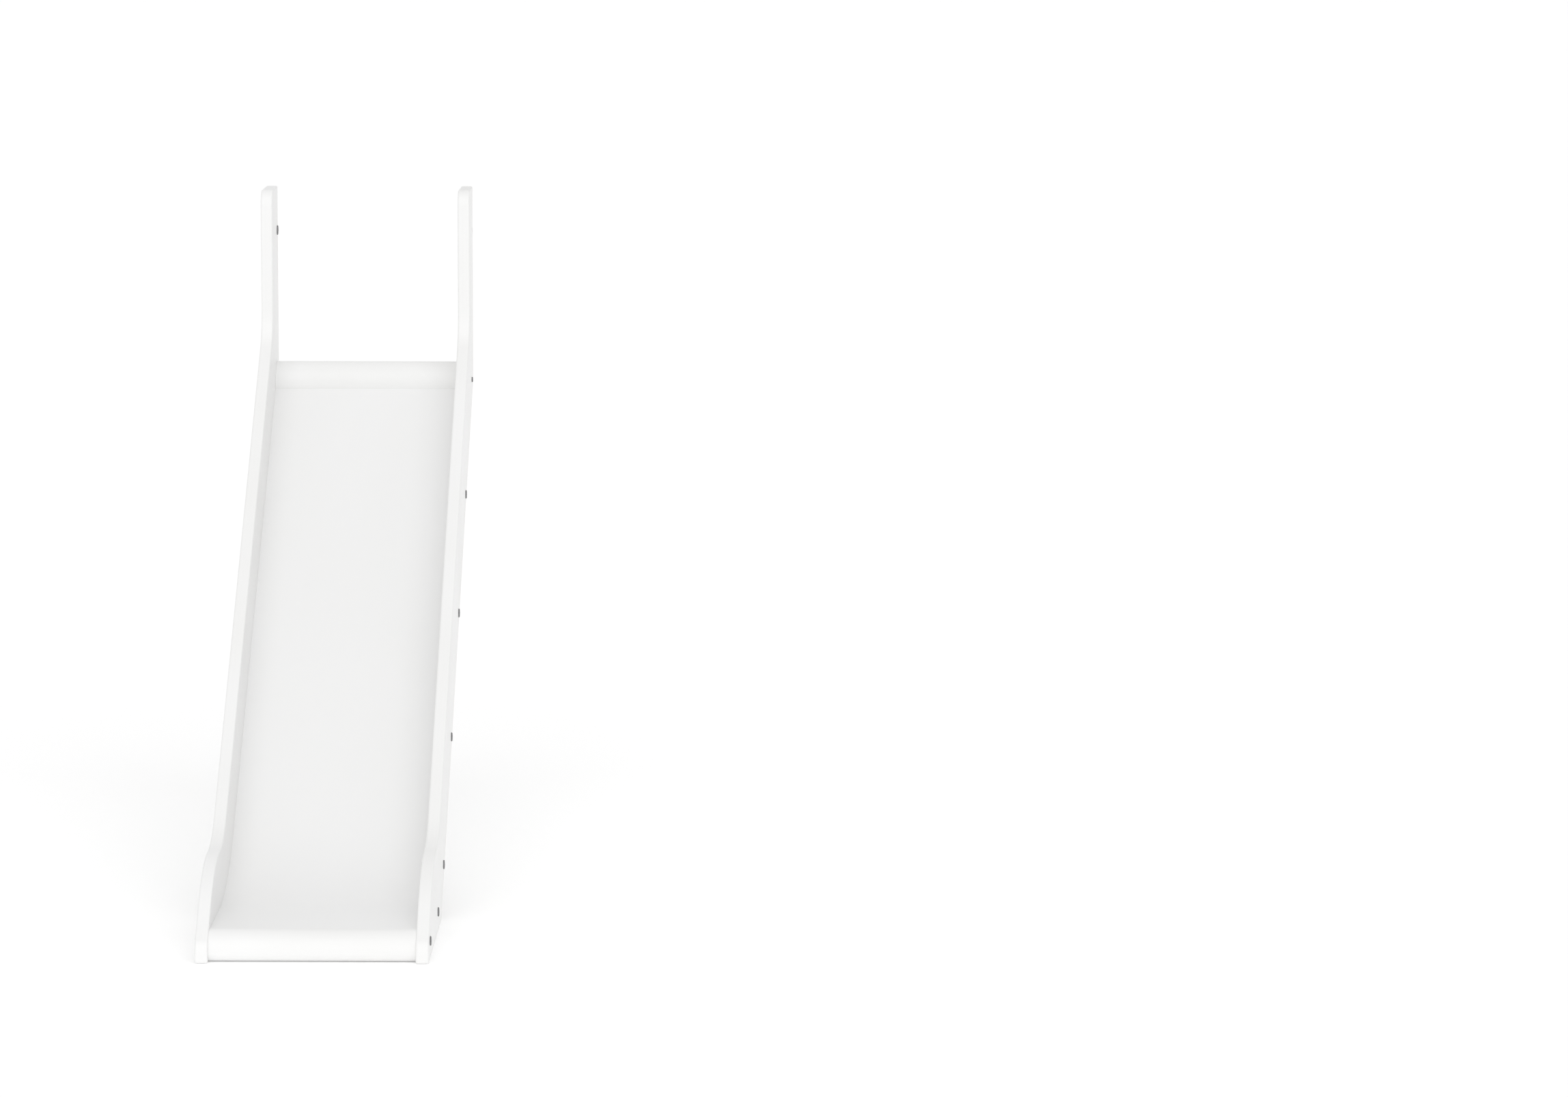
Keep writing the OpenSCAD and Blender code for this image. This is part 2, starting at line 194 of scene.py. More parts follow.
bend = Vector((GUARD_Y, BEND_HEIGHT))
rear_line = bend + SLOPE_WIDTH * INWARD
hollow_y = GUARD_Y - (
    HOLLOW_RADIUS - (SHOULDER_HEIGHT + HOLLOW_RADIUS - BEND_HEIGHT) * math.cos(SLOPE)
) / math.sin(SLOPE)
shoulder_corner_y = hollow_y - SHOULDER_RADIUS * math.tan(SHOULDER_TURN / 2)
toe_corner_z = SHOULDER_HEIGHT - (shoulder_corner_y - TOE_Y) * math.tan(SHOULDER_TURN)

board_line = bend + BOARD_INSET * INWARD
board_under = board_line + BOARD * INWARD
board_corner_y = line_y(board_line, RUN_OUT)
board_leg = BOARD_RADIUS * math.tan(SLOPE / 2)
board_centre = Vector((board_corner_y - board_leg, RUN_OUT + BOARD_RADIUS))
top_rear = REAR_Y - TOP_BAR_GAP
top_front = top_rear - TOP_BAR_DEEP
top_base = TOP_BAR_HEIGHT - TOP_BAR_TALL
board_top_end = Vector((top_front, line_z(board_line, top_front))) + TONGUE * ALONG
toe_front = TOE_Y + FRONT_BAR_SETBACK
toe_rear = toe_front + FRONT_BAR_DEEP
toe_top = FRONT_BAR_LIFT + FRONT_BAR_TALL
board_end_y = toe_front + BOARD_STOP


def on_slope(y):
    """Place and tilt of a batten under the straight part of the board."""
    below = (BOARD + BATTEN_THICK / 2) / math.cos(SLOPE)
    return (y, line_z(board_line, y) - below, SLOPE)


def on_curve(turn):
    """Place and tilt of a batten under the curved part of the board."""
    reach = BOARD_RADIUS + BOARD + BATTEN_THICK / 2
    return (
        board_centre[0] + reach * math.sin(turn),
        board_centre[1] - reach * math.cos(turn),
        turn,
    )


step = BATTEN_PITCH * math.cos(SLOPE)
BATTENS = [on_slope(FIRST_BATTEN_Y - i * step) for i in range(SLOPE_BATTENS)]
BATTENS += [on_curve(turn) for turn in (LOWER_BATTEN_TURN, RUN_OUT_BATTEN_TURN)]
TOP_BOLT = (top_rear - TOP_BAR_DEEP / 2, top_base + TOP_BAR_TALL / 2, 0)
FRONT_BOLT = (toe_rear - FRONT_BOLT_INSET, FRONT_BAR_LIFT + FRONT_BOLT_RISE, 0)
TOP_DOWEL = (TOP_BOLT[0] + BAR_DOWEL_STEP, TOP_BOLT[1])
FRONT_DOWEL = (FRONT_BOLT[0] - BAR_DOWEL_STEP, FRONT_BOLT[1] - FRONT_DOWEL_DROP)
SLEEVE = (REAR_Y - SLEEVE_FROM_REAR, SLEEVE_Z)


def dowel_spot(place):
    """Place of the dowel beside a batten's bolt."""
    return (
        place[0] - DOWEL_OFFSET * math.cos(place[2]),
        place[1] - DOWEL_OFFSET * math.sin(place[2]),
    )


BATTEN_DOWELS = [dowel_spot(place) for place in BATTENS]


# ------------------------------------------------------------------ outlines
def rounded(corners):
    """Polygon in (y, z) from corners given as (y, z, radius)."""
    points = []
    count = len(corners)
    for i, (y, z, radius) in enumerate(corners):
        here = Vector((y, z))
        if radius == 0:
            points.append(here)
            continue
        before = Vector(corners[i - 1][:2]) - here
        after = Vector(corners[(i + 1) % count][:2]) - here
        before.normalize()
        after.normalize()
        half = before.angle(after) / 2
        leg = radius / math.tan(half)
        centre = here + (before + after).normalized() * radius / math.sin(half)
        start = here + before * leg - centre
        turn = math.pi - 2 * half
        side = before.x * after.y - before.y * after.x
        turn = -turn if side > 0 else turn
        most = 2 * math.acos(1 - min(ARC_ERROR / radius, MOST_BULGE))
        steps = max(FEWEST_STEPS, math.ceil(abs(turn) / most))
        for k in range(steps + 1):
            a = turn * k / steps
            y = start.x * math.cos(a) - start.y * math.sin(a)
            z = start.x * math.sin(a) + start.y * math.cos(a)
            points.append(centre + Vector((y, z)))
    kept = []
    for p in points:
        if not kept or (p - kept[-1]).length > SAME_POINT:
            kept.append(p)
    if (kept[0] - kept[-1]).length < SAME_POINT:
        kept.pop()
    return kept


def area_sign(points):
    """1 for a polygon that runs anticlockwise, -1 for a clockwise one."""
    total = sum(
        a.x * b.y - a.y * b.x for a, b in zip(points, points[1:] + points[:1])
    )
    return 1 if total > 0 else -1


def inset(points, distance):
    """The polygon moved inwards by a distance, corner by corner."""
    sign = area_sign(points)
    moved = []
    count = len(points)
    for i, p in enumerate(points):
        a = (p - points[i - 1]).normalized()
        b = (points[(i + 1) % count] - p).normalized()
        na = Vector((-a.y, a.x)) * sign
        nb = Vector((-b.y, b.x)) * sign
        moved.append(p + (na + nb) * distance / (1 + na.dot(nb)))
    return moved


def panel_outline():
    heel_y = line_y(rear_line, 0)
    return rounded(
        [
            (TOE_Y, 0, TOE_FOOT),
            (TOE_Y, toe_corner_z, TOE_RADIUS),
            (shoulder_corner_y, SHOULDER_HEIGHT, SHOULDER_RADIUS),
            (line_y(bend, SHOULDER_HEIGHT), SHOULDER_HEIGHT, HOLLOW_RADIUS),
            (bend[0], bend[1], BEND_RADIUS),
            (GUARD_Y, HEIGHT, GUARD_RADIUS),
            (REAR_Y, HEIGHT, 0),
            (REAR_Y, line_z(rear_line, REAR_Y), REAR_RADIUS),
            (heel_y, 0, HEEL_RADIUS),
        ]
    )


def board_outline(seam=0.0):
    top = board_line - seam * INWARD
    under = board_under + seam * INWARD
    rise = RUN_OUT + seam
    drop = RUN_OUT - BOARD - seam
    end = board_top_end + seam * ALONG
    return rounded(
        [
            (board_end_y - seam, rise, 0),
            (line_y(top, rise), rise, BOARD_RADIUS - seam),
            (*(end - seam * INWARD), 0),
            (*(end + (BOARD + seam) * INWARD), 0),
            (line_y(under, drop), drop, BOARD_RADIUS + BOARD + seam),
            (board_end_y - seam, drop, 0),
        ]
    )


def top_bar_outline():
    return rounded(
        [
            (top_front, top_base, BAR_CORNER),
            (top_front, TOP_BAR_HEIGHT, TOP_NOSE),
            (top_rear, TOP_BAR_HEIGHT, BAR_CORNER),
            (top_rear, top_base, BAR_CORNER),
        ]
    )


def front_bar_outline():
    ledge = RUN_OUT - BOARD
    return rounded(
        [
            (toe_front, FRONT_BAR_LIFT, FRONT_BAR_TALL - FRONT_NOSE - ARC_GAP),
            (toe_front, toe_top, FRONT_NOSE),
            (board_end_y, toe_top, BAR_LIP),
            (board_end_y, ledge, 0),
            (toe_rear, ledge, BAR_LIP),
            (toe_rear, FRONT_BAR_LIFT, BAR_CORNER),
        ]
    )


def batten_outline(place):
    turn = Matrix.Rotation(place[2], 2)
    middle = Vector(place[:2])
    corners = []
    for u, v in ((-1, -1), (-1, 1), (1, 1), (1, -1)):
        at = middle + turn @ Vector((u * BATTEN_WIDTH / 2, v * BATTEN_THICK / 2))
        corners.append((at.x, at.y, BATTEN_CORNER))
    return rounded(corners)


# ------------------------------------------------------------- mesh building
def new_object(name, bm):
    mesh = bpy.data.meshes.new(name)
    bm.to_mesh(mesh)
    bm.free()
    obj = bpy.data.objects.new(name, mesh)
    bpy.context.scene.collection.objects.link(obj)
    return obj


def slab(bm, outline, x0, x1, rounding, steps):
    """Adds the outline stretched from x0 to x1, its two rims rounded."""
    if area_sign(outline) < 0:
        outline = outline[::-1]
    rows = []
    for k in range(steps + 1):
        a = math.pi / 2 * k / steps
        rows.append((x0 + rounding * (1 - math.cos(a)), rounding * (1 - math.sin(a))))
    rows += [(x0 + x1 - x, d) for x, d in reversed(rows)]
    rings = []
    for x, d in rows:
        ring = inset(outline, d) if d > SAME_POINT else outline
        rings.append([bm.verts.new((x * MM, p.x * MM, p.y * MM)) for p in ring])
    count = len(outline)
    for low, high in zip(rings, rings[1:]):
        for i in range(count):
            j = (i + 1) % count
            bm.faces.new((low[i], low[j], high[j], high[i]))
    bm.faces.new(rings[0][::-1])
    bm.faces.new(rings[-1])


def lathe(bm, place, profile, segments, mirror=False, tilt=None):
    """Adds a turned shape along X, its profile given as (x, radius).

    With a tilt it stands upright instead, leaned like the batten it is in."""
    rings = []
    for x, radius in profile:
        if radius == 0:
            rings.append([(x, 0, 0)])
            continue
        ring = []
        for i in range(segments):
            a = 2 * math.pi * i / segments
            ring.append((x, radius * math.cos(a), radius * math.sin(a)))
        rings.append(ring)

    def put(p):
        x, y, z = p
        if tilt is not None:
            x, y, z = (
                z + place[2],
                y * math.cos(tilt) - x * math.sin(tilt),
                y * math.sin(tilt) + x * math.cos(tilt),
            )
        x = -x if mirror else x
        return (x * MM, (y + place[0]) * MM, (z + place[1]) * MM)

    made = [[bm.verts.new(put(p)) for p in ring] for ring in rings]
    for low, high in zip(made, made[1:]):
        for i in range(segments):
            j = (i + 1) % segments
            if len(low) == 1:
                bm.faces.new((low[0], high[j], high[i]))
            elif len(high) == 1:
                bm.faces.new((low[i], low[j], high[0]))
            else:
                bm.faces.new((low[i], low[j], high[j], high[i]))


def peg(bm, place, x0, x1, diameter, segments=HOLE_SEGMENTS, mirror=False):
    """A plain round cutter along X."""
    radius = diameter / 2
    profile = [(x0, 0), (x0, radius), (x1, radius), (x1, 0)]
    lathe(bm, place, profile, segments, mirror)


def cut(obj, bm_cutter, crossing=False):
    """Takes the cutter away. Crossing cutters pass through themselves."""
    bmesh.ops.recalc_face_normals(bm_cutter, faces=bm_cutter.faces)
    cutter = new_object("cutter", bm_cutter)
    change = obj.modifiers.new("cut", "BOOLEAN")
    change.operation = "DIFFERENCE"
    change.solver = "EXACT"
    change.use_self = crossing
    change.object = cutter
    apply_modifiers(obj)
    bpy.data.objects.remove(cutter)


def apply_modifiers(obj):
    graph = bpy.context.evaluated_depsgraph_get()
    made = bpy.data.meshes.new_from_object(obj.evaluated_get(graph))
    old = obj.data
    obj.modifiers.clear()
    obj.data = made
    made.name = obj.name
    bpy.data.meshes.remove(old)


def shade(obj, sharp=BODY_SHARP):
    """Smooth shading, broken at edges sharper than an angle."""
    mesh = obj.data
    mesh.shade_smooth()
    mesh.set_sharp_from_angle(angle=sharp)
    change = obj.modifiers.new("normals", "WEIGHTED_NORMAL")
    change.keep_sharp = True
    change.weight = LARGE_FACE_WEIGHT
    apply_modifiers(obj)


def finish_piece(obj, look, slot, *nodes):
    obj.data.materials.clear()
    obj.data.materials.append(look)
    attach(obj, "root")
    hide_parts(*nodes)


# ----------------------------------------------------------------- materials
BEVEL_SAMPLES = 4
BEVEL_DOTS = (0.995, 0.86)


class Look:
    """A node material with helpers for its noises and mixes."""

    def __init__(self, name, roughness):
        self.material = bpy.data.materials.new(name)
        self.material.use_nodes = True
        self.tree = self.material.node_tree
        self.tree.nodes.clear()
        self.out = self.add("ShaderNodeOutputMaterial")
        self.bsdf = self.add("ShaderNodeBsdfPrincipled")
        self.bsdf.inputs["Roughness"].default_value = roughness
        self.join(self.bsdf.outputs[0], self.out.inputs["Surface"])
        self.place = self.add("ShaderNodeTexCoord").outputs["Object"]

    def add(self, kind):
        return self.tree.nodes.new(kind)

    def join(self, source, target):
        self.tree.links.new(source, target)

    def stretched(self, scale):
        node = self.add("ShaderNodeMapping")
        node.inputs["Scale"].default_value = scale
        self.join(self.place, node.inputs["Vector"])
        return node.outputs["Vector"]

    def noise(self, scale, detail=2.0, where=None, rough=0.5, warp=0.0):
        node = self.add("ShaderNodeTexNoise")
        node.inputs["Scale"].default_value = scale
        node.inputs["Detail"].default_value = detail
        node.inputs["Roughness"].default_value = rough
        node.inputs["Distortion"].default_value = warp
        self.join(where or self.place, node.inputs["Vector"])
        return node.outputs["Fac"]

    def span(self, value, low, high, new_low, new_high):
        node = self.add("ShaderNodeMapRange")
        for key, number in zip(
            ("From Min", "From Max", "To Min", "To Max"),
            (low, high, new_low, new_high),
        ):
            node.inputs[key].default_value = number
        self.join(value, node.inputs["Value"])
        return node.outputs["Result"]

    def math(self, kind, a, b):
        node = self.add("ShaderNodeMath")
        node.operation = kind
        for socket, value in zip(node.inputs, (a, b)):
            if isinstance(value, (int, float)):
                socket.default_value = value
            else:
                self.join(value, socket)
        return node.outputs[0]

    def plus(self, a, b):
        return self.math("ADD", a, b)

    def times(self, a, b):
        return self.math("MULTIPLY", a, b)

    def mix(self, factor, a, b):
        node = self.add("ShaderNodeMix")
        node.data_type = "RGBA"
        self.join(factor, node.inputs["Factor"])
        colours = [s for s in node.inputs if s.type == "RGBA"]
        for socket, value in zip(colours, (a, b)):
            if isinstance(value, tuple):
                socket.default_value = (*value, 1)
            else:
                self.join(value, socket)
        return [s for s in node.outputs if s.type == "RGBA"][0]

    def edges(self, radius):
        """Close to 1 on edges and rims, 0 on open faces."""
        bevel = self.add("ShaderNodeBevel")
        bevel.samples = BEVEL_SAMPLES
        bevel.inputs["Radius"].default_value = radius
        plain = self.add("ShaderNodeNewGeometry")
        dot = self.add("ShaderNodeVectorMath")
        dot.operation = "DOT_PRODUCT"
        self.join(bevel.outputs["Normal"], dot.inputs[0])
        self.join(plain.outputs["Normal"], dot.inputs[1])
        return self.span(dot.outputs["Value"], *BEVEL_DOTS, 0.0, 1.0)

    def bump(self, height, distance, under=None):
        node = self.add("ShaderNodeBump")
        node.inputs["Distance"].default_value = distance
        self.join(height, node.inputs["Height"])
        if under is not None:
            self.join(under, node.inputs["Normal"])
        return node.outputs["Normal"]

    def set(self, colour=None, roughness=None, normal=None):
        for name, value in (
            ("Base Color", colour),
            ("Roughness", roughness),
            ("Normal", normal),
        ):
            if value is not None:
                self.join(value, self.bsdf.inputs[name])
        return self.material


def toned(tone, *shares):
    """The colour with its channels scaled by one share, or by one each."""
    if len(shares) == 1:
        shares = shares * len(tone)
    return tuple(channel * share for channel, share in zip(tone, shares))


def lacquer(name, tone, grain=None):
    """Sprayed satin lacquer: faint orange peel, cloudy tone, rubbed rims."""
    look = Look(name, roughness=0.4)
    look.bsdf.inputs["IOR"].default_value = 1.5
    look.bsdf.inputs["Specular IOR Level"].default_value = 0.42

    cloud = look.span(look.noise(3.1, 3.0, warp=0.4), 0.32, 0.7, 0.0, 1.0)
    specks = look.span(look.noise(420.0, 2.0), 0.68, 0.8, 0.0, 0.35)
    rubbed = look.span(look.noise(26.0, 5.0, rough=0.65), 0.46, 0.62, 0.1, 0.75)
    wear = look.times(look.edges(0.0022), rubbed)
    colour = look.mix(cloud, tone, toned(tone, 0.972, 0.97, 0.962))
    colour = look.mix(specks, colour, toned(tone, 0.93))
    colour = look.mix(wear, colour, toned(tone, 0.955, 0.945, 0.925))

    patches = look.plus(look.times(look.noise(60.0, 4.0), 0.35), look.noise(9.0, 3.0))
    rough = look.span(patches, 0.45, 0.9, 0.33, 0.45)
    rough = look.plus(rough, look.times(wear, 0.12))
    normal = look.bump(look.noise(750.0, 2.0), 0.00004)
    normal = look.bump(look.noise(120.0, 2.0), 0.00008, under=normal)
    if grain:
        lines = look.noise(1.0, 5.0, where=look.stretched(grain), rough=0.6, warp=0.5)
        normal = look.bump(lines, 0.00022, under=normal)
        rough = look.plus(rough, look.span(lines, 0.3, 0.7, -0.03, 0.05))
    return look.set(colour, rough, normal)


def laminate(name, tone):
    """Smooth laminate: even colour, gloss a little duller in lanes down its length."""
    look = Look(name, roughness=0.3)
    look.bsdf.inputs["IOR"].default_value = 1.5
    look.bsdf.inputs["Specular IOR Level"].default_value = 0.45
    look.place = look.add("ShaderNodeTexCoord").outputs["UV"]

    cloud = look.noise(4.0, 3.0, where=look.stretched((1.0, 0.35, 1.0)), warp=0.3)
    cloud = look.span(cloud, 0.3, 0.72, 0.0, 1.0)
    dust = look.span(look.noise(380.0, 2.0), 0.72, 0.84, 0.0, 0.15)
    colour = look.mix(cloud, tone, toned(tone, 0.984, 0.983, 0.98))
    colour = look.mix(dust, colour, toned(tone, 0.975))

    lanes = look.noise(1.0, 4.0, where=look.stretched((46.0, 1.3, 1.0)), rough=0.6)
    rough = look.plus(look.span(lanes, 0.3, 0.7, 0.285, 0.33), look.times(dust, 0.1))
    normal = look.bump(look.noise(5.0, 1.0), 0.0001)
    return look.set(colour, rough, normal)


def metal(name, tone, worn, roughness, metallic, brushed):
    """Steel with cloudy tone, brushed lines and worn edges."""
    look = Look(name, roughness)
    look.bsdf.inputs["Metallic"].default_value = metallic

    cloud = look.noise(300.0, 4.0)
    rubbed = look.span(look.noise(700.0, 4.0), 0.42, 0.6, 0.15, 0.8)
    wear = look.times(look.edges(0.0005), rubbed)
    colour = look.mix(look.span(cloud, 0.35, 0.65, 0.0, 1.0), tone, toned(tone, 0.82))
    colour = look.mix(wear, colour, worn)

    lines = look.noise(1.0, 3.0, where=look.stretched(brushed))
    base = look.span(cloud, 0.3, 0.7, roughness - 0.06, roughness + 0.08)
    rough = look.plus(base, look.span(lines, 0.3, 0.7, -0.04, 0.04))
    normal = look.bump(lines, 0.00001)
    normal = look.bump(look.noise(2600.0, 2.0), 0.000012, under=normal)
    return look.set(colour, rough, normal)


def bare_wood(name, tone, dark):
    """Raw beech with fibres and rings along X."""
    look = Look(name, roughness=0.6)
    along = look.stretched((30.0, 700.0, 700.0))
    fibre = look.noise(1.0, 6.0, where=along, rough=0.7, warp=0.6)
    rings = look.noise(1.0, 3.0, where=look.stretched((12.0, 190.0, 190.0)), warp=1.0)
    colour = look.mix(look.span(rings, 0.35, 0.65, 0.0, 1.0), tone, toned(tone, 0.86))
    colour = look.mix(look.span(fibre, 0.55, 0.72, 0.0, 0.8), colour, dark)
    rough = look.span(fibre, 0.3, 0.7, 0.52, 0.7)
    return look.set(colour, rough, look.bump(fibre, 0.00006))


WHITE = (0.9, 0.9, 0.897)
BOARD_WHITE = (0.89, 0.89, 0.888)
COATED_STEEL = (0.24, 0.24, 0.245)
WORN_COATING = (0.36, 0.36, 0.37)
ZINC = (0.62, 0.63, 0.64)
BRIGHT_ZINC = (0.8, 0.8, 0.8)
BEECH = (0.62, 0.43, 0.25)
DARK_FIBRE = (0.36, 0.2, 0.09)

PANEL_LOOK = lacquer("panel_lacquer", WHITE)
BAR_LOOK = lacquer("bar_lacquer", WHITE, grain=(5.0, 150.0, 150.0))
BATTEN_LOOK = lacquer("batten_lacquer", WHITE, grain=(6.0, 190.0, 190.0))
BOARD_LOOK = laminate("board_laminate", BOARD_WHITE)
BOLT_LOOK = metal(
    "bolt_steel", COATED_STEEL, WORN_COATING,
    roughness=0.42, metallic=0.5, brushed=(60.0, 900.0, 900.0),
)
NUT_LOOK = metal(
    "nut_steel", ZINC, BRIGHT_ZINC,
    roughness=0.39, metallic=1.0, brushed=(900.0, 900.0, 60.0),
)
DOWEL_LOOK = bare_wood("dowel_beech", BEECH, DARK_FIBRE)


# --------------------------------------------------------------- side panels
def side_cutter(sign):
    """Groove, bolt holes, dowel holes and sleeve nut hole of one side panel."""
    bm = bmesh.new()
    inside = HALF_INNER - PAST
    groove = sorted((sign * inside, sign * (HALF_INNER + GROOVE)))
    slab(bm, board_outline(SEAM), *groove, 0, 1)
    through = sorted((sign * inside, sign * (HALF_OUTER + PAST)))
    for place in [*BATTENS, TOP_BOLT, FRONT_BOLT]:
        peg(bm, place, *through, BOLT_HOLE_D)
    blind = sorted((sign * inside, sign * (HALF_INNER + DOWEL_IN_PANEL)))
    for place in [*BATTEN_DOWELS, TOP_DOWEL, FRONT_DOWEL]:
        peg(bm, place, *blind, DOWEL_D)
    peg(bm, SLEEVE, *through, SLEEVE_D)
    return bm


def side_panel(name, sign):
    bm = bmesh.new()
    ends = sorted((sign * HALF_INNER, sign * HALF_OUTER))
    slab(bm, panel_outline(), *ends, PANEL_ROUND, PANEL_ROUND_STEPS)
    bmesh.ops.recalc_face_normals(bm, faces=bm.faces)
    obj = new_object(name, bm)
    cut(obj, side_cutter(sign))
    shade(obj)
    return obj


for word, sign in (("left", -1), ("right", 1)):
    panel = side_panel("panel_" + word, sign)
    finish_piece(panel, PANEL_LOOK, "panel_lacquer", "side_panel_" + word)


# --------------------------------------------------------------- slide board
UV_MIDDLE = 0.5


def along_board(y, z):
    """Length along the board's path from the foot to a point by it."""
    start = board_centre[0]
    if y <= start:
        return y - board_end_y
    turn = math.atan2(y - start, board_centre[1] - z)
    flat = start - board_end_y
    if turn <= SLOPE:
        return flat + BOARD_RADIUS * turn
    curve = flat + BOARD_RADIUS * SLOPE
    tangent = board_centre + BOARD_RADIUS * INWARD
    return curve + (Vector((y, z)) - tangent).dot(ALONG)


def slide_board():
    """The bent board, with its material laid along its path."""
    bm = bmesh.new()
    half = HALF_INNER + GROOVE - GROOVE_PLAY
    slab(bm, board_outline(), -half, half, BOARD_EASE, EASE_STEPS)
    bmesh.ops.recalc_face_normals(bm, faces=bm.faces)
    uv = bm.loops.layers.uv.new("along")
    for face in bm.faces:
        for loop in face.loops:
            co = loop.vert.co
            length = along_board(co.y / MM, co.z / MM)
            loop[uv].uv = (co.x + UV_MIDDLE, length * MM)
    obj = new_object("board", bm)
    shade(obj)
    return obj


finish_piece(slide_board(), BOARD_LOOK, "board_laminate", "slide_board")


# ----------------------------------------------------------- bars and battens
def end_cutter(place, bolt_length, nut_low, nut_high, dowel):
    """Bolt, barrel nut and dowel holes at both ends of a cross member."""
    bm = bmesh.new()
    outside = HALF_INNER + PAST
    bolt_end = HALF_OUTER - bolt_length - BORE_CLEAR
    dowel_end = HALF_INNER - DOWEL_IN_BAR - BORE_CLEAR
    nut_x = HALF_OUTER - bolt_length + NUT_FROM_END
    radius = NUT_HOLE_D / 2
    profile = [(nut_low, 0), (nut_low, radius), (nut_high, radius), (nut_high, 0)]
    for sign in (-1, 1):
        ends = sorted((sign * bolt_end, sign * outside))
        peg(bm, place, *ends, BOLT_HOLE_D)
        ends = sorted((sign * dowel_end, sign * outside))
        peg(bm, dowel, *ends, DOWEL_D)
        at = (place[0], place[1], sign * nut_x)
        lathe(bm, at, profile, HOLE_SEGMENTS, tilt=place[2])
    return bm


def cross_member(name, outline, cutter, groove=None):
    """A bar or batten between the panels, with its holes cut out."""
    bm = bmesh.new()
    slab(bm, outline, -HALF_INNER, HALF_INNER, END_EASE, EASE_STEPS)
    bmesh.ops.recalc_face_normals(bm, faces=bm.faces)
    obj = new_object(name, bm)
    cut(obj, cutter, crossing=True)
    if groove:
        bm = bmesh.new()
        slab(bm, groove, -HALF_INNER - PAST, HALF_INNER + PAST, 0, 1)
        cut(obj, bm)
    shade(obj)
    return obj


def batten(name, place, node):
    nut_low = -BATTEN_THICK / 2 - PAST_NUT
    cutter = end_cutter(place, BATTEN_BOLT, nut_low, NUT_LENGTH / 2, dowel_spot(place))
    obj = cross_member(name, batten_outline(place), cutter)
    finish_piece(obj, BATTEN_LOOK, "batten_lacquer", node)


*upper_places, run_out_place = BATTENS
for i, place in enumerate(upper_places):
    batten(f"batten_{i + 1}", place, f"cross_batten_{i + 1}")
batten("batten_at_run_out", run_out_place, "run_out_batten")

cutter = end_cutter(TOP_BOLT, BAR_BOLT, -TOP_BAR_TALL, NUT_LENGTH / 2, TOP_DOWEL)
bar = cross_member("head_bar", top_bar_outline(), cutter, groove=board_outline(SEAM))
finish_piece(bar, BAR_LOOK, "bar_lacquer", "top_bar")
cutter = end_cutter(FRONT_BOLT, BAR_BOLT, -FRONT_BAR_TALL, NUT_LENGTH / 2, FRONT_DOWEL)
bar = cross_member("toe_bar", front_bar_outline(), cutter)
finish_piece(bar, BAR_LOOK, "bar_lacquer", "front_bar")


# ------------------------------------------------------------------ fasteners
def rim(x, radius, rounding, outward):
    """Quarter-round rim of a turned head, from its edge to its face."""
    points = []
    for k in range(RIM_STEPS + 1):
        a = math.pi / 2 * k / RIM_STEPS
        along = x + outward * rounding * (math.sin(a) - 1)
        points.append((along, radius - rounding * (1 - math.cos(a))))
    return points


def bolt_profile(length, width):
    """A threaded bolt with a flat, slightly crowned head, from tip to face."""
    crest = BOLT_D / 2
    root = crest - THREAD_DEPTH
    tip = HALF_OUTER - length
    edge = width / 2
    face = HALF_OUTER + HEAD_H
    crown, flat = HEAD_CROWN
    profile = [(tip, 0), (tip, root - TIP_CHAMFER[1]), (tip + TIP_CHAMFER[0], crest)]
    x = tip + THREAD_PITCH
    while x < tip + THREAD_LENGTH:
        for share, radius in ((0.1, crest), (0.5, root), (0.9, crest)):
            profile.append((x + share * THREAD_PITCH, radius))
        x += THREAD_PITCH
    profile += [(x + THREAD_RUN_OUT, crest), (HALF_OUTER, crest)]
    profile += [(HALF_OUTER, edge - HEAD_CHAMFER[1]), (HALF_OUTER + HEAD_CHAMFER[0], edge)]
    profile += rim(face - crown, edge, HEAD_RIM, 1)
    return profile + [(face, edge - flat), (face, 0)]


def hex_socket(face, depth, across_flats, point=0.0):
    """Cutter for a chamfered hexagon socket that opens at x = face."""
    radius = across_flats / math.sqrt(3)
    outward = 1 if depth > 0 else -1
    floor_x = face - depth
    wide = radius * SOCKET_WIDER
    out = face + outward * PAST_SOCKET
    profile = [(floor_x - outward * radius * point, 0), (floor_x, radius)]
    profile += [(face - outward * SOCKET_CHAMFER, radius), (face, wide)]
    profile += [(out, wide), (out, 0)]
    return profile if outward > 0 else profile[::-1]


def bolts(name, places, length, width, mirror, node):
    bm = bmesh.new()
    holes = bmesh.new()
    profile = bolt_profile(length, width)
    socket = hex_socket(HALF_OUTER + HEAD_H, SOCKET_DEPTH, SOCKET_AF, SOCKET_POINT)
    for place in places:
        lathe(bm, place, profile, FASTENER_SEGMENTS, mirror)
        lathe(holes, place, socket, HEX, mirror)
    bmesh.ops.recalc_face_normals(bm, faces=bm.faces)
    obj = new_object(name, bm)
    cut(obj, holes)
    shade(obj, FASTENER_SHARP)
    finish_piece(obj, BOLT_LOOK, "bolt_steel", node)


for word, mirror in (("left", True), ("right", False)):
    for name, places, length, width, node in (
        ("bolts_to_battens_", BATTENS, BATTEN_BOLT, HEAD_D, "batten_bolts_"),
        ("bolt_to_head_bar_", [TOP_BOLT], BAR_BOLT, SMALL_HEAD_D, "top_bar_bolt_"),
        ("bolt_to_toe_bar_", [FRONT_BOLT], BAR_BOLT, HEAD_D, "front_bar_bolt_"),
    ):
        bolts(name + word, places, length, width, mirror, node + word)


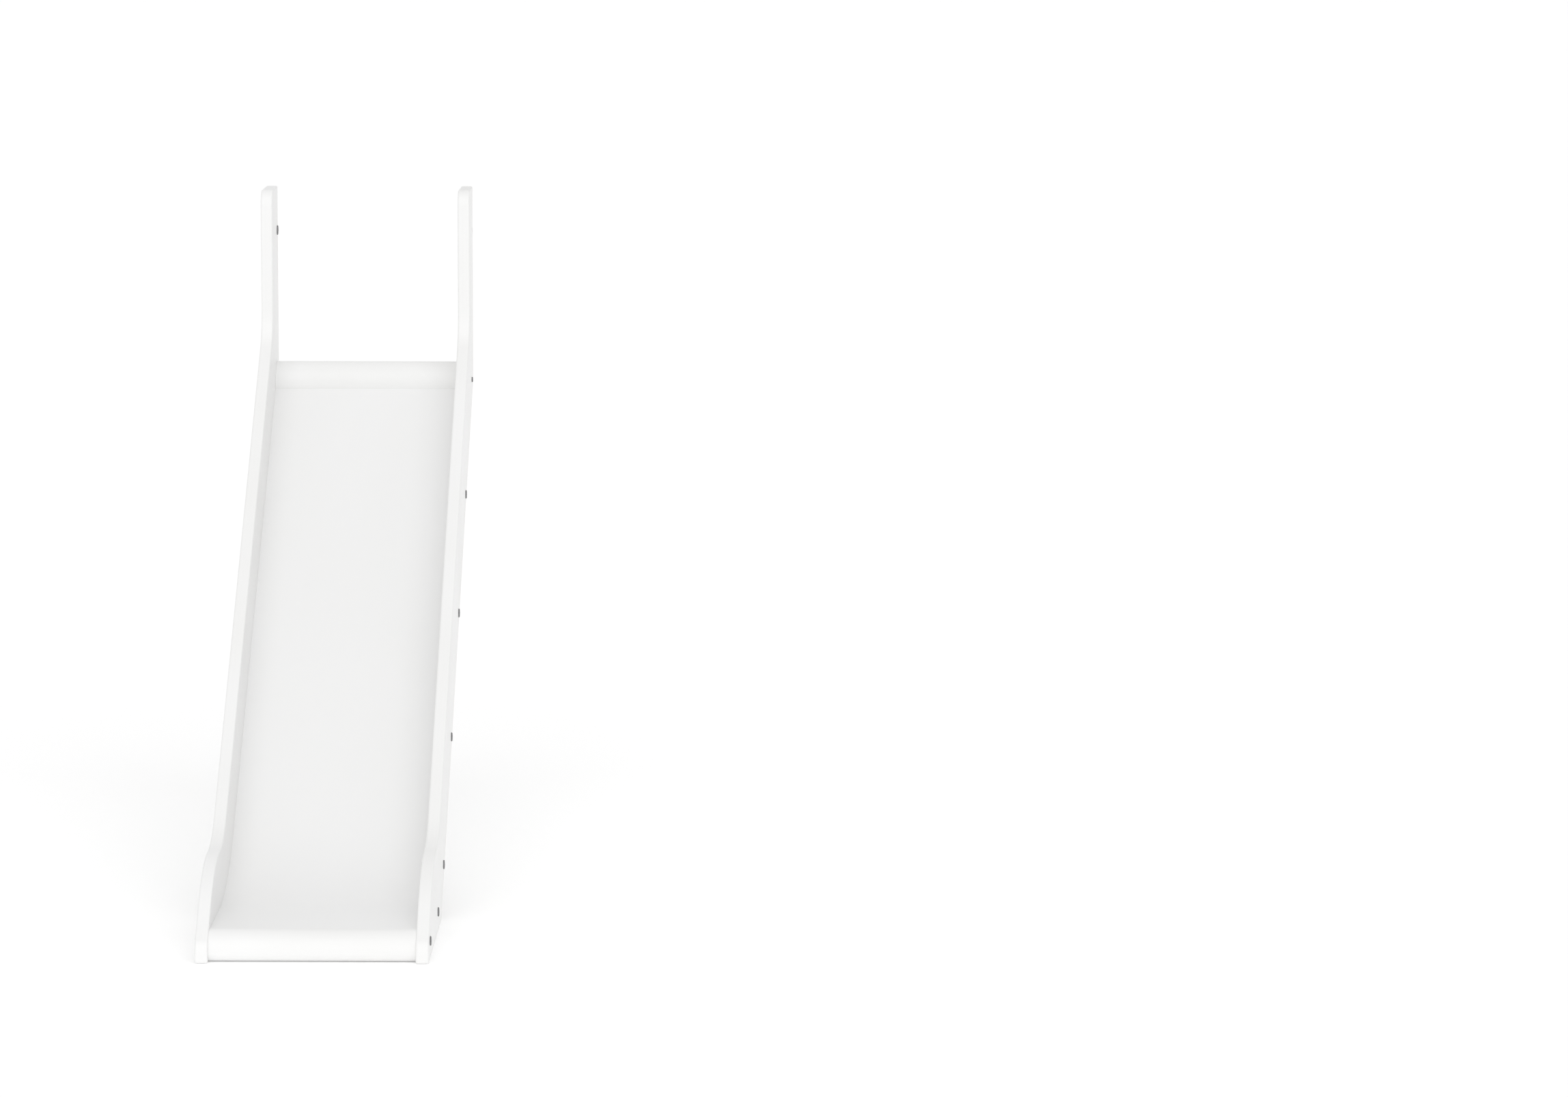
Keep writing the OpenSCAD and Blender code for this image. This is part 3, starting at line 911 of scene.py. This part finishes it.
def sleeve(name, mirror, node):
    """A sleeve nut: flange on the guard's inner face, bore from the outer one."""
    face = HALF_INNER - FLANGE_H
    end = HALF_INNER + SLEEVE_LENGTH
    edge = FLANGE_D / 2
    shank = SLEEVE_D / 2
    profile = [(face, 0), (face, edge / 2)]
    profile += rim(face + FLANGE_CROWN, edge, FLANGE_RIM, -1)[::-1]
    profile += [(HALF_INNER, edge), (HALF_INNER, shank)]
    profile += [(end - END_CHAMFER, shank), (end, shank - END_CHAMFER), (end, 0)]
    bm = bmesh.new()
    lathe(bm, SLEEVE, profile, FLANGE_SEGMENTS, mirror)
    bmesh.ops.recalc_face_normals(bm, faces=bm.faces)
    obj = new_object(name, bm)
    holes = bmesh.new()
    peg(holes, SLEEVE, end - SLEEVE_BORE_DEEP, end + PAST_SOCKET, SLEEVE_BORE_D, mirror=mirror)
    socket = hex_socket(face, -SLEEVE_SOCKET_DEEP, SLEEVE_SOCKET_AF)
    lathe(holes, SLEEVE, socket, HEX, mirror)
    cut(obj, holes)
    shade(obj, FASTENER_SHARP)
    finish_piece(obj, BOLT_LOOK, "bolt_steel", node)


sleeve("sleeve_left", True, "sleeve_nut_left")
sleeve("sleeve_right", False, "sleeve_nut_right")


def nuts(name, places, length, node):
    """Barrel nuts that stand across the ends of the members."""
    bm = bmesh.new()
    holes = bmesh.new()
    half = NUT_LENGTH / 2
    radius = NUT_D / 2
    low = [(-half, 0), (-half, radius - END_CHAMFER), (END_CHAMFER - half, radius)]
    profile = low + [(-x, r) for x, r in reversed(low)]
    nut_x = HALF_OUTER - length + NUT_FROM_END
    for place in places:
        for middle in (-nut_x, nut_x):
            at = (place[0], place[1], middle)
            lathe(bm, at, profile, FASTENER_SEGMENTS, tilt=place[2])
            peg(holes, place, middle - NUT_D, middle + NUT_D, BOLT_D, NUT_HOLE_SEGMENTS)
            slot_cut(holes, at, place[2])
    bmesh.ops.recalc_face_normals(bm, faces=bm.faces)
    obj = new_object(name, bm)
    cut(obj, holes)
    shade(obj, FASTENER_SHARP)
    finish_piece(obj, NUT_LOOK, "nut_steel", node)


def slot_cut(bm, at, tilt):
    """The screwdriver slot across the lower end of a barrel nut."""
    half = NUT_SLOT_W / 2
    top = NUT_SLOT_DEEP - NUT_LENGTH / 2
    low = -NUT_LENGTH / 2 - PAST_SOCKET
    turn = Matrix.Rotation(tilt, 2)
    corners = [(-half, low), (-half, top), (half, top), (half, low)]
    outline = [Vector(at[:2]) + turn @ Vector(c) for c in corners]
    slab(bm, outline, at[2] - NUT_D, at[2] + NUT_D, 0, 1)


nuts("barrel_nuts_of_battens", BATTENS, BATTEN_BOLT, "batten_nuts")
nuts("barrel_nuts_of_bars", [TOP_BOLT, FRONT_BOLT], BAR_BOLT, "bar_nuts")


def dowels(name, places, node):
    """Fluted dowels with chamfered ends."""
    bm = bmesh.new()
    segments = DOWEL_FLUTES * POINTS_PER_FLUTE
    start = HALF_INNER - DOWEL_IN_BAR
    end = start + DOWEL_LENGTH
    radius = DOWEL_D / 2
    tip = radius - DOWEL_CHAMFER
    rows = [(start, tip), (start + DOWEL_CHAMFER, radius)]
    rows += [(end - DOWEL_CHAMFER, radius), (end, tip)]
    for y, z in places:
        for sign in (-1, 1):
            rings = []
            for x, r in rows:
                ring = []
                for i in range(segments):
                    a = 2 * math.pi * i / segments
                    reach = r - (FLUTE_DEPTH if i % POINTS_PER_FLUTE == 0 else 0)
                    at = (sign * x, y + reach * math.cos(a), z + reach * math.sin(a))
                    ring.append(bm.verts.new([value * MM for value in at]))
                rings.append(ring)
            for low, high in zip(rings, rings[1:]):
                for i in range(segments):
                    j = (i + 1) % segments
                    bm.faces.new((low[i], low[j], high[j], high[i]))
            bm.faces.new(rings[0])
            bm.faces.new(rings[-1])
    bmesh.ops.recalc_face_normals(bm, faces=bm.faces)
    obj = new_object(name, bm)
    shade(obj, DOWEL_SHARP)
    finish_piece(obj, DOWEL_LOOK, "dowel_beech", node)


dowels("dowels_of_battens", BATTEN_DOWELS, "batten_dowels")
dowels("dowels_of_bars", [TOP_DOWEL, FRONT_DOWEL], "bar_dowels")


# ----------------------------------------------------- floor, light and camera
FLOOR_RADIUS = 150.0
FLOOR_SEGMENTS = 96
FLOOR_PALE = (0.95, 0.95, 0.95)
FLOOR_DIM = (0.945, 0.945, 0.944)
FLOOR_GLOW = 0.14
WORLD_STRENGTH = 0.76
FULL_WHITE = (1, 1, 1, 1)

CAMERA_PLACE = (0.7935, -11.0298, 2.0216)
CAMERA_DEGREES = (82.683, -0.123, 0.018)
CAMERA_LENS = 142.24
SENSOR_WIDTH = 36.0
CLIP_START = 0.1
CLIP_END = 200.0


def floor():
    """A wide pale paper floor that glows a little, so that it stays even."""
    bm = bmesh.new()
    bmesh.ops.create_circle(bm, cap_ends=True, segments=FLOOR_SEGMENTS, radius=FLOOR_RADIUS)
    obj = new_object("floor", bm)
    look = Look("floor_paper", roughness=0.8)
    look.bsdf.inputs["Specular IOR Level"].default_value = 0.2
    look.bsdf.inputs["Emission Color"].default_value = FULL_WHITE
    look.bsdf.inputs["Emission Strength"].default_value = FLOOR_GLOW
    cloud = look.span(look.noise(0.6, 2.0), 0.3, 0.7, 0.0, 1.0)
    colour = look.mix(cloud, FLOOR_PALE, FLOOR_DIM)
    rough = look.span(look.noise(40.0, 3.0), 0.3, 0.7, 0.75, 0.85)
    look.set(colour, rough, look.bump(look.noise(300.0, 2.0), 0.00005))
    obj.data.materials.append(look.material)


def soft_light(name, towards, spread, strength):
    """A distant light as wide as a big diffuser, the same all over the floor."""
    data = bpy.data.lights.new(name, "SUN")
    data.angle = math.radians(spread)
    data.energy = strength
    obj = bpy.data.objects.new(name, data)
    obj.rotation_euler = Vector(towards).to_track_quat("Z", "Y").to_euler()
    bpy.context.scene.collection.objects.link(obj)


def front_fill(name, place, target, size, power):
    """A low diffuser in front of the toe, out of the camera's sight."""
    data = bpy.data.lights.new(name, "AREA")
    data.shape = "DISK"
    data.size = size
    data.energy = power
    obj = bpy.data.objects.new(name, data)
    obj.location = place
    aim = Vector(target) - Vector(place)
    obj.rotation_euler = aim.to_track_quat("-Z", "Y").to_euler()
    obj.visible_camera = False
    bpy.context.scene.collection.objects.link(obj)


floor()
world = bpy.data.worlds.new("studio")
world.use_nodes = True
background = world.node_tree.nodes["Background"]
background.inputs["Color"].default_value = FULL_WHITE
background.inputs["Strength"].default_value = WORLD_STRENGTH
soft_light("key", towards=(0.12, -0.68, 0.72), spread=60, strength=0.72)
front_fill("front_fill", place=(0.3, -5.6, 0.5), target=(0, -0.77, 0.2), size=3.0, power=15)

scene = bpy.context.scene
scene.world = world
scene.view_settings.view_transform = "Standard"
scene.view_settings.look = "None"

camera_data = bpy.data.cameras.new("camera")
camera_data.sensor_width = SENSOR_WIDTH
camera_data.lens = CAMERA_LENS
camera_data.clip_start = CLIP_START
camera_data.clip_end = CLIP_END
camera = bpy.data.objects.new("camera", camera_data)
camera.location = CAMERA_PLACE
camera.rotation_euler = [math.radians(angle) for angle in CAMERA_DEGREES]
scene.collection.objects.link(camera)
scene.camera = camera
